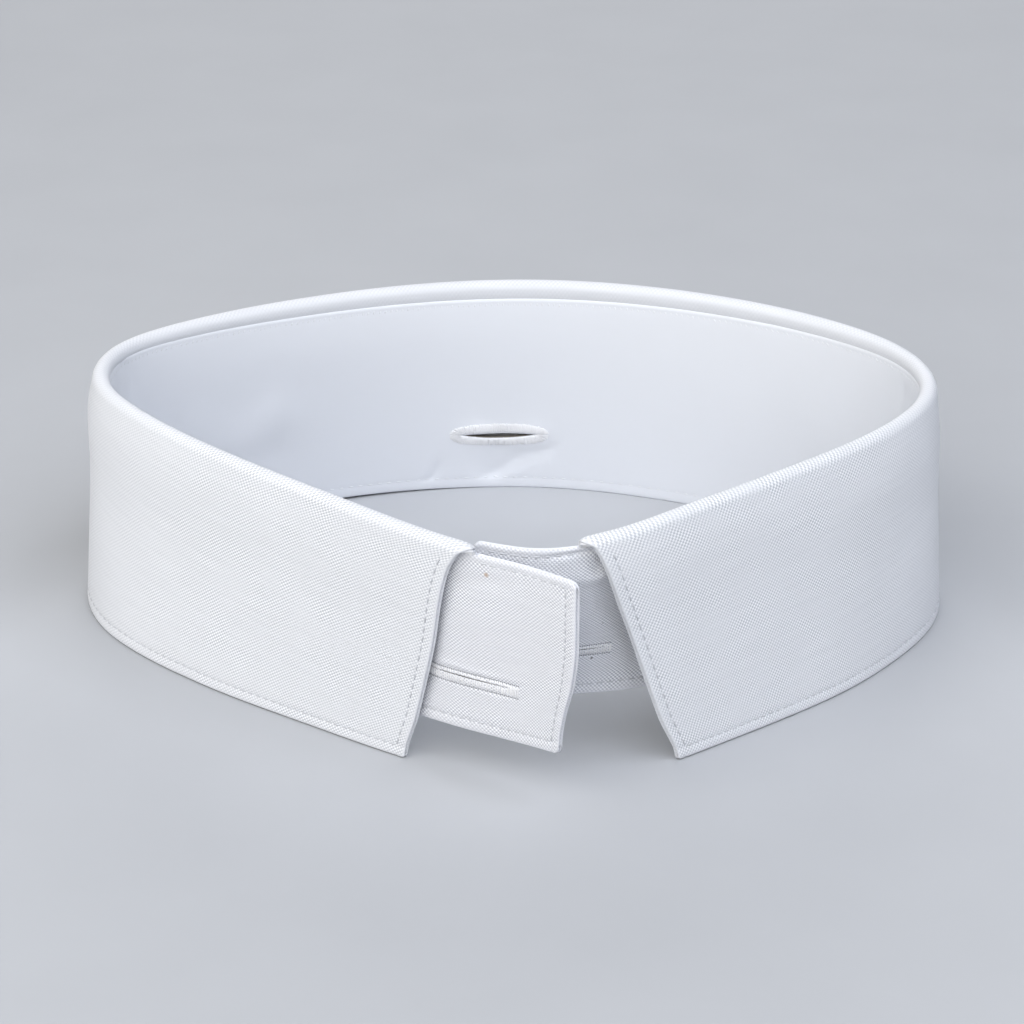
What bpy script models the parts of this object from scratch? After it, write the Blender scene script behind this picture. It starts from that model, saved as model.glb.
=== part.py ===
"""Detachable turn-down collar of starched white cotton, standing on its lower edge, open at the front.

Metres, +Z up. The wearer's front is at -Y and the centre back, the nape, at +Y. Two cut pieces are modelled: the
leaf, which turns over at the fold and hangs outside, and the band, which is sewn to the leaf on the inside and runs
past it at both front ends as buttonholed tabs. Each is one wall of cloth, its plies and turnings taken together.
"""

import math

import bmesh
import bpy
import numpy as np
from mathutils import Vector

MM = 0.001

CLOTH = 1.1  # thickness of a fused and starched piece
ROLL_OUTER = 1.6  # outer radius of the fold
ROLL_INNER = ROLL_OUTER - CLOTH
SEAM_GAP = 0.3  # space between the leaf and the band along their seam
SHARP_EDGE = 40  # degrees between two faces, over which their shared edge is shaded sharp

# The collar from its left tab to its right tab, as seen from the front, all in mm. x and y give the fold line from
# above. crest is the height of the fold, and drop is how far below it the seam lies inside. flare is how far the
# leaf's lower edge stands outside the fold line. foot_z is the height of the band's lower edge, and foot_out how far
# the band's neck face stands outside the fold line there.
SECTIONS = """
place              x      y   crest  drop  flare  foot_z  foot_out
left_tab_end     10.3  -70.0   46.0   2.0    0.5     9.8      -2.1
left_tab          0.5  -62.5   45.8   2.0    0.5     9.0      -2.1
left_corner      -6.5  -58.4   45.7   2.0    0.5     8.6      -2.3
left_front      -32.0  -40.0   46.4   2.0    2.4     7.6      -2.4
left_quarter    -54.5  -20.5   46.6   2.0    5.1     5.4      -1.9
left_shoulder   -70.2   -3.0   46.6   2.0    6.4     3.4      -1.3
left_side       -77.0   10.2   46.6   2.0    5.3     1.8      -0.6
left_turn       -75.6   24.6   46.6   2.0    4.6     0.8      -0.2
left_back       -64.4   36.4   46.6   2.4    4.3     0.4       0.6
left_nape       -40.5   49.5   46.6   3.0    4.3     0.6       1.4
nape              1.0   59.0   46.6   3.3    4.3     0.0       0.6
right_nape       40.5   50.5   46.6   3.2    4.3     0.0      -1.0
right_back       63.2   36.7   46.6   2.9    4.4     0.0      -0.8
right_turn       75.7   21.2   46.6   2.3    4.8     1.0      -0.8
right_side       77.7    6.5   46.6   2.0    4.7     2.4      -0.9
right_shoulder   70.4   -9.0   46.6   2.0    5.0     5.0      -1.3
right_quarter    53.0  -26.5   46.6   2.0    6.2     7.4      -1.8
right_front      31.0  -44.0   46.4   2.0    5.7    10.8      -3.0
right_corner     11.5  -55.7   45.7   2.0    5.1    12.3      -6.6
right_tab         4.5  -57.0   45.8   2.0    5.1    12.3      -8.4
right_tab_end    -7.0  -54.0   46.0   2.0    5.1    12.3      -9.4
"""

# How far each front edge of the leaf lies back from the end of its seam, in mm along the collar. down is the
# fraction of the way from the top of the outer leg to the lower edge.
FRONT_EDGES = """
level    down  left  right
fold     0.00   2.2    2.0
upper    0.15   4.9    4.2
middle   0.45   8.5    8.7
lower    0.75  11.4   13.2
point    1.00  14.2   17.3
"""

LEAF_SPACING = 4.0  # between the leaf's sections
LEG_ROWS = 6
ROLL_STEPS = 6

BAND_SPACING = 4.0
BAND_ROWS = 8
BEND_DROP = 6.0  # how far below the seam the band starts to lean
BEND_SOFTNESS = 0.15  # the share of the way down from there in which the lean comes on
CORNER_RADIUS = 1.6  # of the tabs' corners
CORNER_STEPS = 4
END_LEAN = 3.0  # how far a tab's end runs back from its top corner to its lower one
LEAN_REACH = 16.0  # how far along the band that lean fades out

# Buttonholes in the band, in mm. along is where the middle of the slit lies, measured from the left tab's end, up is
# its height above the floor, and length and gape are the slit's own size.
BUTTONHOLES = """
hole          along    up  length  gape
left_front     22.4  19.1    17.0   0.8
nape          216.1  12.4    15.4   1.1
right_front   416.2  22.3    15.0   0.8
"""
TANGENT_REACH = 0.05  # how far to each side the fold line's direction is measured

SLIT_END_STEPS = 4
SLIT_SIDE_STEPS = 4
CUTTER_REACH = 2.5  # how far a cutter stands out of the wall on each side


def read_table(text):
    """The rows' names, and each column's values by its heading."""
    rows = [line.split() for line in text.strip().splitlines()]
    headings = rows[0][1:]
    names = [row[0] for row in rows[1:]]
    values = np.array([[float(cell) for cell in row[1:]] for row in rows[1:]])
    return names, {heading: values[:, i] for i, heading in enumerate(headings)}


def smooth_curve(knots, values):
    """A natural cubic through the values, for the fold line, whose bend has to change evenly."""
    count = len(knots)
    steps = np.diff(knots)
    rises = np.diff(values) / steps
    system = np.eye(count)
    right = np.zeros(count)
    for i in range(1, count - 1):
        system[i, i - 1] = steps[i - 1]
        system[i, i] = 2 * (steps[i - 1] + steps[i])
        system[i, i + 1] = steps[i]
        right[i] = 6 * (rises[i] - rises[i - 1])
    bends = np.linalg.solve(system, right)

    def at(along):
        i = int(np.clip(np.searchsorted(knots, along) - 1, 0, count - 2))
        step = steps[i]
        a = (knots[i + 1] - along) / step
        b = (along - knots[i]) / step
        cubic = ((a**3 - a) * bends[i] + (b**3 - b) * bends[i + 1]) * step**2 / 6
        return float(a * values[i] + b * values[i + 1] + cubic)

    return at


def level_curve(knots, values):
    """A cubic through the values that never swings past them, for heights and distances."""
    steps = np.diff(knots)
    rises = np.diff(values) / steps
    slopes = np.zeros(len(knots))
    for i in range(1, len(knots) - 1):
        if rises[i - 1] * rises[i] > 0:
            slopes[i] = 2 * rises[i - 1] * rises[i] / (rises[i - 1] + rises[i])

    def at(along):
        along = float(np.clip(along, knots[0], knots[-1]))
        i = int(np.clip(np.searchsorted(knots, along) - 1, 0, len(knots) - 2))
        step = steps[i]
        t = (along - knots[i]) / step
        value = (2 * t**3 - 3 * t**2 + 1) * values[i] + (3 * t**2 - 2 * t**3) * values[i + 1]
        value += (t**3 - 2 * t**2 + t) * step * slopes[i] + (t**3 - t**2) * step * slopes[i + 1]
        return float(value)

    return at


PLACES, COLUMNS = read_table(SECTIONS)
CHORDS = np.hypot(np.diff(COLUMNS["x"]), np.diff(COLUMNS["y"]))
KNOTS = np.concatenate([[0.0], np.cumsum(CHORDS)])
LENGTH = float(KNOTS[-1])
FOLD_X = smooth_curve(KNOTS, COLUMNS["x"])
FOLD_Y = smooth_curve(KNOTS, COLUMNS["y"])
CREST = level_curve(KNOTS, COLUMNS["crest"])
DROP = level_curve(KNOTS, COLUMNS["drop"])
FLARE = level_curve(KNOTS, COLUMNS["flare"])
FOOT_Z = level_curve(KNOTS, COLUMNS["foot_z"])
FOOT_OUT = level_curve(KNOTS, COLUMNS["foot_out"])
LEAF_START = float(KNOTS[PLACES.index("left_corner")])
LEAF_END = float(KNOTS[PLACES.index("right_corner")])

_, EDGES = read_table(FRONT_EDGES)
LEFT_EDGE = level_curve(EDGES["down"], EDGES["left"])
RIGHT_EDGE = level_curve(EDGES["down"], EDGES["right"])


def place(along, out, height):
    """The point at a distance along the fold line, out from it on the outer side, and at a height, in metres."""
    low, high = max(along - TANGENT_REACH, 0.0), min(along + TANGENT_REACH, LENGTH)
    run = Vector((FOLD_X(high) - FOLD_X(low), FOLD_Y(high) - FOLD_Y(low), 0.0)).normalized()
    outward = Vector((-run.y, run.x, 0.0))
    return (Vector((FOLD_X(along), FOLD_Y(along), height)) + outward * out) * MM


def seam_height(along):
    return CREST(along) - DROP(along)


def leaf_profile(along, inside):
    """(out, height) of one face of the leaf, from its lower edge up the leg, over the fold and down to the seam."""
    radius = ROLL_INNER if inside else ROLL_OUTER
    centre = CREST(along) - ROLL_OUTER
    tilt = math.atan2(FLARE(along) - ROLL_OUTER, centre)
    foot_out = FLARE(along) - (CLOTH / math.cos(tilt) if inside else 0.0)
    top_out = radius * math.cos(tilt)
    top_height = centre + radius * math.sin(tilt)
    points = []
    for row in range(LEG_ROWS):
        up = row / LEG_ROWS
        points.append((foot_out + (top_out - foot_out) * up, top_height * up))
    for step in range(ROLL_STEPS + 1):
        angle = tilt + (math.pi - tilt) * step / ROLL_STEPS
        points.append((radius * math.cos(angle), centre + radius * math.sin(angle)))
    points.append((-radius, seam_height(along) + SEAM_GAP / 2))
    return points


def edge_shift(across, row):
    """How far a point of the leaf is moved along the collar, so that its front edges slant.

    across runs from 0 at the left front edge to 1 at the right one, and row counts the profile's points.
    """
    if row <= LEG_ROWS:
        down = 1 - row / LEG_ROWS
        left, right = LEFT_EDGE(down), RIGHT_EDGE(down)
    else:
        over = 1 - (row - LEG_ROWS) / (ROLL_STEPS + 1)
        left, right = LEFT_EDGE(0.0) * over, RIGHT_EDGE(0.0) * over
    fade_left = max(0.0, 1 - 2 * across) ** 2
    fade_right = max(0.0, 2 * across - 1) ** 2
    return left * fade_left - right * fade_right


def leaf_face(inside):
    sections = round((LEAF_END - LEAF_START) / LEAF_SPACING)
    face = []
    for section in range(sections + 1):
        across = section / sections
        seam_along = LEAF_START + (LEAF_END - LEAF_START) * across
        column = []
        for row in range(LEG_ROWS + ROLL_STEPS + 2):
            along = seam_along + edge_shift(across, row)
            out, height = leaf_profile(along, inside)[row]
            column.append(place(along, out, height))
        face.append(column)
    return face


def band_out(along, height):
    """How far the band's neck face stands outside the fold line at a height."""
    bend = seam_height(along) - BEND_DROP
    down = max(0.0, (bend - height) / (bend - FOOT_Z(along)))
    lean = down**2 * (1 + BEND_SOFTNESS) / (down + BEND_SOFTNESS)
    return -ROLL_OUTER + (FOOT_OUT(along) + ROLL_OUTER) * lean


def band_columns():
    """(along, corner cut) of each column of the band: the cut takes its top and foot in, to round the corners."""
    corner = []
    for step in range(CORNER_STEPS):
        angle = math.pi / 2 * step / CORNER_STEPS
        corner.append((CORNER_RADIUS * (1 - math.cos(angle)), CORNER_RADIUS * (1 - math.sin(angle))))
    inner = LENGTH - 2 * CORNER_RADIUS
    count = round(inner / BAND_SPACING)
    middle = [(CORNER_RADIUS + inner * i / count, 0.0) for i in range(count + 1)]
    return corner + middle + [(LENGTH - along, cut) for along, cut in reversed(corner)]


def end_lean(along, down):
    """How far a point of the band is moved back from its nearer end, so that the tabs' ends slant."""
    left = max(0.0, 1 - along / LEAN_REACH)
    right = max(0.0, 1 - (LENGTH - along) / LEAN_REACH)
    return END_LEAN * down * (left - right)


def band_face(outer):
    face = []
    for straight, cut in band_columns():
        column = []
        for row in range(BAND_ROWS + 1):
            up = row / BAND_ROWS
            along = straight + end_lean(straight, 1 - up)
            foot = FOOT_Z(along) + cut
            top = seam_height(along) - SEAM_GAP / 2 - cut
            height = foot + (top - foot) * up
            out = band_out(along, height) + (CLOTH if outer else 0.0)
            column.append(place(along, out, height))
        face.append(column)
    return face


def slit_outline(length, gape):
    """(along, up) of points round a slit with half-round ends, about its middle."""
    radius = gape / 2
    straight = length / 2 - radius
    outline = []
    for side in (1, -1):
        for step in range(SLIT_SIDE_STEPS):
            outline.append((-side * straight + side * 2 * straight * step / SLIT_SIDE_STEPS, -side * radius))
        for step in range(SLIT_END_STEPS):
            angle = math.pi * (step / SLIT_END_STEPS - 0.5)
            outline.append((side * (straight + radius * math.cos(angle)), side * radius * math.sin(angle)))
    return outline


def cotton(name):
    """Bleached white cotton, boiled and starched."""
    material = bpy.data.materials.new(name)
    material.use_nodes = True
    shader = material.node_tree.nodes["Principled BSDF"]
    shader.inputs["Base Color"].default_value = (0.84, 0.85, 0.87, 1.0)
    shader.inputs["Roughness"].default_value = 0.82
    shader.inputs["Metallic"].default_value = 0.0
    return material


def mesh_object(name, corners, faces):
    mesh = bpy.data.meshes.new(name)
    build = bmesh.new()
    points = [build.verts.new(corner) for corner in corners]
    for face in faces:
        build.faces.new([points[i] for i in face])
    bmesh.ops.recalc_face_normals(build, faces=build.faces)
    if build.calc_volume(signed=True) < 0:
        bmesh.ops.reverse_faces(build, faces=build.faces)
    build.to_mesh(mesh)
    build.free()
    thing = bpy.data.objects.new(name, mesh)
    bpy.context.collection.objects.link(thing)
    return thing


def cloth_wall(name, near, far):
    """A closed wall between two faces, each a list of columns of points, with its four edges filled."""
    rows = len(near[0])
    ring = 2 * rows
    corners = []
    for near_column, far_column in zip(near, far):
        corners += near_column + far_column[::-1]
    faces = []
    for column in range(len(near) - 1):
        start = column * ring
        for i in range(ring):
            j = (i + 1) % ring
            faces.append((start + i, start + j, start + ring + j, start + ring + i))
    for start in (0, (len(near) - 1) * ring):
        for row in range(rows - 1):
            faces.append((start + row, start + row + 1, start + ring - 2 - row, start + ring - 1 - row))
    wall = mesh_object(name, corners, faces)
    wall.data.materials.append(cotton(f"{name}_cotton"))
    wall.data.shade_smooth()
    wall.data.set_sharp_from_angle(angle=math.radians(SHARP_EDGE))
    return wall


def buttonhole_cutter(name, along, up, length, gape):
    """A slit-shaped prism that follows the band's curve and passes right through it."""
    outline = slit_outline(length, gape)
    count = len(outline)
    corners = []
    for reach in (-CUTTER_REACH, CLOTH + CUTTER_REACH):
        for run, rise in outline:
            out = band_out(along + run, up + rise) + reach
            corners.append(place(along + run, out, up + rise))
    faces = [tuple(range(count)), tuple(range(count, 2 * count))]
    for i in range(count):
        j = (i + 1) % count
        faces.append((i, j, count + j, count + i))
    cutter = mesh_object(name, corners, faces)
    cutter.hide_render = True
    cutter.display_type = "WIRE"
    return cutter


def cut_buttonholes(band):
    names, sizes = read_table(BUTTONHOLES)
    for i, name in enumerate(names):
        size = {heading: float(values[i]) for heading, values in sizes.items()}
        cutter = buttonhole_cutter(f"slit_{name}", **size)
        cut = band.modifiers.new(f"cut_{name}", "BOOLEAN")
        cut.operation = "DIFFERENCE"
        cut.object = cutter


def centre_on_floor(pieces, helpers):
    """Moves everything so that the pieces' box has the middle of its underside at the origin."""
    corners = np.array([vertex.co for piece in pieces for vertex in piece.data.vertices])
    low, high = corners.min(axis=0), corners.max(axis=0)
    shift = -Vector(((low[0] + high[0]) / 2, (low[1] + high[1]) / 2, low[2]))
    for thing in pieces + helpers:
        for vertex in thing.data.vertices:
            vertex.co += shift


def main():
    for thing in list(bpy.data.objects):
        bpy.data.objects.remove(thing)
    leaf = cloth_wall("leaf", leaf_face(inside=True), leaf_face(inside=False))
    band = cloth_wall("band", band_face(outer=False), band_face(outer=True))
    cut_buttonholes(band)
    helpers = [thing for thing in bpy.data.objects if thing.hide_render]
    centre_on_floor([leaf, band], helpers)


main()
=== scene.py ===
"""The collar as it looks: its cloth, turned edges, sewing and buttonholes, and the setting it is photographed in.

The sizes are in mm and are turned to metres where points are made. The wearer's front is at -Y.
"""

import math

import bpy
import numpy as np
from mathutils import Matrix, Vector


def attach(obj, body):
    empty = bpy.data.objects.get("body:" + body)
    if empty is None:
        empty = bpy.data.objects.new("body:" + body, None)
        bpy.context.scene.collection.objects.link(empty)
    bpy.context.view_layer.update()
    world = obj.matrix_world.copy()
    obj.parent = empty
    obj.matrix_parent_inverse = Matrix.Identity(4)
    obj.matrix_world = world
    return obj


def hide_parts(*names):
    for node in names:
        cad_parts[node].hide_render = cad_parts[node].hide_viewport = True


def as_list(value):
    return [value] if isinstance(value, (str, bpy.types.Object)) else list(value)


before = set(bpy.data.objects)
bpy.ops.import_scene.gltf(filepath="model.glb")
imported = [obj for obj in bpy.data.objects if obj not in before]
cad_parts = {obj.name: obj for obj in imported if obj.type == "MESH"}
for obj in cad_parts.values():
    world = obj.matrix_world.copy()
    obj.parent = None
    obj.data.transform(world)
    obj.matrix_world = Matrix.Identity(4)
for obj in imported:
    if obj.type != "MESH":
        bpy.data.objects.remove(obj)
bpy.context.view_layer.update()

MM = 0.001

# ---- the cut, as in the solids

CLOTH = 1.1  # thickness of a fused and starched piece
HALF = CLOTH / 2
FOLD_OUTER = 1.6  # outer radius of the fold
FOLD_MIDDLE = FOLD_OUTER - HALF
BOX_MIDDLE = (0.046, -3.165)  # of the collar in plan, which the frame has at its origin

# The collar from its left tab to its right tab, as seen from the front: the fold line from above, its height, how
# far below it the seam lies, how far outside it the leaf's lower edge stands, and the height of the band's lower
# edge and how far outside the fold line its neck face stands there.
SECTIONS = """
place              x     y crest drop flare foot_z foot_out
left_tab_end    10.3 -70.0  46.0  2.0   0.5    9.8     -2.1
left_tab         0.5 -62.5  45.8  2.0   0.5    9.0     -2.1
left_corner     -6.5 -58.4  45.7  2.0   0.5    8.6     -2.3
left_front     -32.0 -40.0  46.4  2.0   2.4    7.6     -2.4
left_quarter   -54.5 -20.5  46.6  2.0   5.1    5.4     -1.9
left_shoulder  -70.2  -3.0  46.6  2.0   6.4    3.4     -1.3
left_side      -77.0  10.2  46.6  2.0   5.3    1.8     -0.6
left_turn      -75.6  24.6  46.6  2.0   4.6    0.8     -0.2
left_back      -64.4  36.4  46.6  2.4   4.3    0.4      0.6
left_nape      -40.5  49.5  46.6  3.0   4.3    0.6      1.4
nape             1.0  59.0  46.6  3.3   4.3    0.0      0.6
right_nape      40.5  50.5  46.6  3.2   4.3    0.0     -1.0
right_back      63.2  36.7  46.6  2.9   4.4    0.0     -0.8
right_turn      75.7  21.2  46.6  2.3   4.8    1.0     -0.8
right_side      77.7   6.5  46.6  2.0   4.7    2.4     -0.9
right_shoulder  70.4  -9.0  46.6  2.0   5.0    5.0     -1.3
right_quarter   53.0 -26.5  46.6  2.0   6.2    7.4     -1.8
right_front     31.0 -44.0  46.4  2.0   5.7   10.8     -3.0
right_corner    11.5 -55.7  45.7  2.0   5.1   12.3     -6.6
right_tab        4.5 -57.0  45.8  2.0   5.1   12.3     -8.4
right_tab_end   -7.0 -54.0  46.0  2.0   5.1   12.3     -9.4
"""

# How far each front edge of the leaf lies back from its seam's end, at shares of the way down its outer leg.
FRONT_EDGES = """
level   down left right
fold   0.000  2.1   1.9
turn   0.045  3.4   2.9
upper  0.125  4.8   4.2
high   0.250  6.1   5.9
middle 0.425  7.5   8.4
low    0.615  9.5  10.9
lower  0.790 11.5  13.3
point  1.000 14.0  16.5
"""

# How far a tab's end runs back from its top corner, at shares of the way down.
TAB_END = """
level  down back
top    0.00  0.0
upper  0.35  0.1
middle 0.57  0.9
lower  0.82  2.9
foot   1.00  3.8
"""

BEND_DROP = 6.0  # how far below the seam the band starts to lean
BEND_SOFTNESS = 0.15  # the share of the way down from there in which the lean comes on
LEAN_REACH = 16.0  # how far along the band the slant of a tab's end fades out
TAB_CORNER = 1.6  # radius of the tabs' corners
POINT_CORNER = 1.0  # radius of the leaf's points

# A point on a piece is given as along, from the piece's left end, and up, from its lower edge. The up values are
# those of a middling section, stretched between the two hems to fit each place.
HEM = 4.0
LEAF_LEG = 44.0
LEAF_FOLD = 3.4
LEAF_TURN = 1.6
LEAF_TALL = LEAF_LEG + LEAF_FOLD + LEAF_TURN
BAND_TALL = 40.0

FOLD_CLOSE = 0.9  # how far the fold sinks onto the tab's top edge at each front end of the leaf
CLOSE_REACH = 2.6
LEAF_LAP = 0.9  # how far below the seam's level the leaf's sewn edge reaches
BAND_SHORT = 0.1  # how far below it the band's top edge stays

# The cross-section of a turned edge, from the groove between its plies: how far in from the outermost cloth the
# outer and the under ply are, and their shares of half the thickness. The stitches pull both in at STITCH_IN.
STITCH_IN = 2.3
TURNED_EDGE = """
row       in_from under_from body under
groove       0.95       0.95 0.00  0.00
inside       0.38       0.20 0.30  0.30
outermost    0.20       0.00 0.54  0.54
round        0.26       0.06 0.80  0.80
shoulder     0.46       0.26 0.97  0.96
turning      0.75       0.62 1.04  1.00
turning_2    1.20       1.15 1.06  1.02
turning_3    1.70       1.70 1.04  1.01
slope        2.05       2.05 0.93  0.98
stitch       2.30       2.30 0.82  0.95
slope_2      2.55       2.55 0.93  0.98
past         2.95       2.95 0.99  1.00
flat         3.50       3.50 1.00  1.00
"""

# The band's top edge: tab where it shows, with its stitches TAB_STITCH_IN below it, and seam where the leaf is
# sewn on, with a soft welt above a shallow trough of close stitches.
TAB_STITCH_IN = 1.3
TOP_EDGE = """
row       in_from under_from  tab seam
groove       0.42       0.42 0.00 0.00
inside       0.20       0.20 0.22 0.22
outermost    0.00       0.00 0.48 0.38
round        0.08       0.08 0.80 0.54
shoulder     0.26       0.26 0.98 0.74
ridge        0.48       0.48 1.04 0.88
slope        0.75       0.75 1.02 0.93
stitch_1     1.05       1.05 0.93 0.88
stitch_2     1.30       1.30 0.84 0.88
stitch_3     1.60       1.60 0.95 0.92
past         2.10       2.10 1.00 0.97
flat         2.80       2.80 1.00 1.00
"""

# How the leaf's sewn edge thins to nothing.
SEWN_EDGE = """
row     from_edge body
full          1.0 0.95
slope         0.5 0.60
slope_2       0.2 0.35
edge          0.0 0.00
"""

LEAF_STEP = 0.68  # between the leaf's columns
LEAF_ROW = 1.3
FOLD_ROWS = 12
BAND_STEP = 0.76
BAND_ROW = 1.25
FINE_ROW = 0.34  # between the rows round the buttonholes
FINE_UPS = (8.2, 15.2)

# ---- sewing

STITCH = 2.0  # from one needle hole to the next
STITCH_SEEN = 1.45  # of it on the surface
STITCH_STEPS = 5  # points along a stitch
STITCH_BED = 0.84  # of half the thickness, where the cloth lies under a row
STITCH_ARCH = 0.16  # how far a stitch rises on its way
STITCH_SUNK = 0.09  # how far its ends lie below that cloth
NECK_SUNK = 0.14
START_STRAY = 0.03  # how far stitches stray along their row, and from it
ROW_STRAY = 0.02
THREAD = 0.13  # radius of the sewing thread
THREAD_SIDES = 6
THREAD_END = 0.55  # of its radius where it goes into the cloth
EDGE_ROW = STITCH_IN + 0.1  # the row lies a little inside the middle of its trough
ROW_BELOW_FOLD = 1.5  # where the rows up the leaf's front edges end
ROW_SHORT = 0.5  # how far short of the leaf the tabs' top row ends

# The close stitches under the fold. They slant in front, and less within SEAM_EASES of the nape.
SEAM_PITCH = 1.15
SEAM_BELOW = 1.35
SEAM_TALL = 0.95
SEAM_SLANT = 0.75
SEAM_EASES = 60.0
SEAM_ARCH = (-0.24, -0.11, -0.07, -0.11, -0.24)
SEAM_STRAY = (0.08, 0.06, 0.012)  # along, up and in lift
SEAM_THREAD = 0.18

# Buttonholes in the band, by the middle of the slit. gape is how far it stands open, and sag how far its lower lip
# hangs. The satin stitches reach above, below and beyond it, where a front one has a bar and the nape's is oval.
# pitch is from thread to thread, thread the radius, and lip how far from the lip each starts.
BUTTONHOLES = """
hole        along   up length gape  sag above below beyond oval pitch thread  lip
left_front   22.4 12.0   17.0 0.20 0.00  0.78  1.80    2.2    0  0.45   0.14 0.08
nape        216.9 11.8   15.0 0.62 0.36  2.45  2.50    3.0    1  0.24   0.15 0.05
right_front 416.2 12.3   15.0 0.20 0.00  0.78  1.66    1.3    0  0.45   0.14 0.08
"""
SLIT_STEPS = 21  # points along each lip
CUT_THROUGH = 3.0  # how far to both sides a slit is cut
OVAL_FULL = 0.75  # 1 would make the nape's oval an ellipse
OVAL_POINTS = 2000
OVAL_GATHER = 0.4  # how far past the slit's ends the oval's threads gather at them
BAR_FROM = 0.1  # how far past the slit a bar starts
BAR_CLOSER = 0.75  # its threads' pitch against the others'
THREAD_STRAY = 0.12  # of the pitch
END_STRAY = 0.05
SATIN_ARCH = (-0.12, -0.02, 0.02, 0.02, 0.0, -0.06, -0.22)  # of a thread of SATIN_RADIUS, from its lip out
SATIN_RADIUS = 0.17

# Rows of needle holes along the outer ends of the front buttonholes' threads, where painted shade makes dark dots.
NEEDLE_ROWS = """
row          from    to    up
left_above   11.4  31.5 12.98
left_below   11.4  31.5  9.94
right_above 407.4 425.5 13.28
right_below 407.4 425.5 10.42
"""
NEEDLE_PITCH = 0.45
NEEDLE_CORE = 0.09  # the shade is full within this radius
NEEDLE_RIM = 0.234  # and gone outside this one

# ---- creases

# Soft troughs (below 0) and ridges (above 0), from one point of the cloth to another. Beside its line a crease has
# faded to a third at its reach, and high is how far it moves the cloth out from the neck.
LEAF_CREASES = """
crease         along   up to_along to_up reach  high
under_fold       4.0 35.0    390.0  35.0   7.5  0.78
left_hollow     62.0 12.0     96.0  33.0   9.0 -0.22
left_swell      20.0 22.0     46.0  20.0   9.0  0.25
left_side_fold 104.0  4.0    109.0  36.0   4.5 -0.12
back_left      150.0 14.0    176.0  36.0   7.0  0.36
back_dip       186.0 10.0    214.0  22.0   7.0 -0.34
back_right     232.0 34.0    262.0  14.0   6.5  0.36
right_turn     284.0 10.0    290.0  38.0   5.0 -0.16
right_drag     300.0 40.0    336.0  12.0   6.0 -0.24
right_drag_2   318.0 42.0    352.0  27.0   4.0  0.20
right_hollow   338.0 14.0    366.0  10.0   8.0 -0.20
"""
BAND_CREASES = """
crease          along    up to_along to_up reach  high
nape_oval       207.5  11.8    226.5  11.8   2.2 -0.42
nape_drag       227.5   9.2    213.5   2.8   1.4  0.62
nape_drag_2     221.0   8.6    211.0   4.6   2.6  0.36
nape_pinch      205.2   5.8    201.8   1.6   0.8  0.50
left_corner     133.2  40.0    137.9  32.6   1.3  0.40
left_corner_2   130.0  39.0    131.5  30.0   1.6 -0.25
right_corner    309.2  37.0    307.2  29.6   1.2  0.40
right_corner_2  314.5  39.0    313.0  30.0   1.6 -0.25
left_swell      152.0  19.0    178.0  18.0   5.0 -0.55
left_hollow     120.0  22.0    150.0  14.0   9.0  0.40
right_swell     262.0  22.0    292.0  26.0  10.0 -0.35
tab_dip          26.6  34.0     34.8   3.0   2.4 -0.70
right_dip       411.3  34.0    399.5   3.0   2.4 -0.60
tab_drag         26.0  33.0     14.5  36.4   1.5 -0.24
tab_rim          12.0  14.1     31.5  14.1   0.6  0.16
tab_row_above    11.9 12.98     31.5 12.98  0.30 -0.22
tab_row_below    11.9  9.92     31.5  9.92  0.32 -0.24
right_row_above 407.4 13.28    425.5 13.28  0.30 -0.22
right_row_below 407.4 10.42    425.5 10.42  0.32 -0.24
crumple_ridge   400.0  33.1    425.0  33.3   1.9  0.85
crumple_shade   402.0  31.2    423.0  31.4   0.9 -0.28
crumple_line    422.0 38.35    409.5 39.40  0.40 -0.34
crumple_drag    419.0  38.6    414.0  34.4   1.2  0.30
crumple_drag_2  408.5  38.4    413.0  34.0   1.1 -0.26
"""

# A crease runs past its ends by END_PAST of its length and fades in over END_FADE of it. It wanders by WANDER of
# its reach, in WANDERS half waves, and its height varies by UNEVEN either way.
END_PAST = 0.15
END_FADE = 0.4
WANDER = 0.35
WANDERS = 2.6
UNEVEN = 0.2
SWELLS = 7

# Creases fade out over these heights, at the leaf's fold and at both lower edges.
FOLD_PAST = 1.0
FOLD_CALM = 4.0
LEAF_CALM = 8.0
BAND_CALM = 3.0

PUCKER = 0.045  # how far the cloth draws in at each stitch of an edge
PUCKER_REACH = 0.6

# The weave shows sharply up to SHARP_TO from the front ends and then fades over SMOOTHED_IN. It hardly shows on
# the turned edges and above the tabs' top stitches either.
SHARP_TO = 58.0
SMOOTHED_IN = 30.0
SIDE_SMOOTHED = 0.85
EDGE_SMOOTHED = 0.9
EDGE_WIDE = 0.55
EDGE_FADE = 0.3
STRIP_SMOOTHED = 0.6
STRIP_PAST = 0.2
NECK_FROM = 0.45  # share of the fold at which the neck starts to smooth the leaf
NECK_FADE = 0.4


def cell_value(cell):
    return cell if cell.startswith("#") else float(cell)


def table_rows(text):
    """Each row of a table as its name and its numbers and colours by their headings."""
    headings, *rows = [line.split() for line in text.strip().splitlines()]
    return [(row[0], dict(zip(headings[1:], map(cell_value, row[1:])))) for row in rows]


def read_table(text):
    """The rows' names, and each column's values by its heading."""
    names, rows = zip(*table_rows(text))
    return names, {heading: np.array([row[heading] for row in rows]) for heading in rows[0]}


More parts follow.
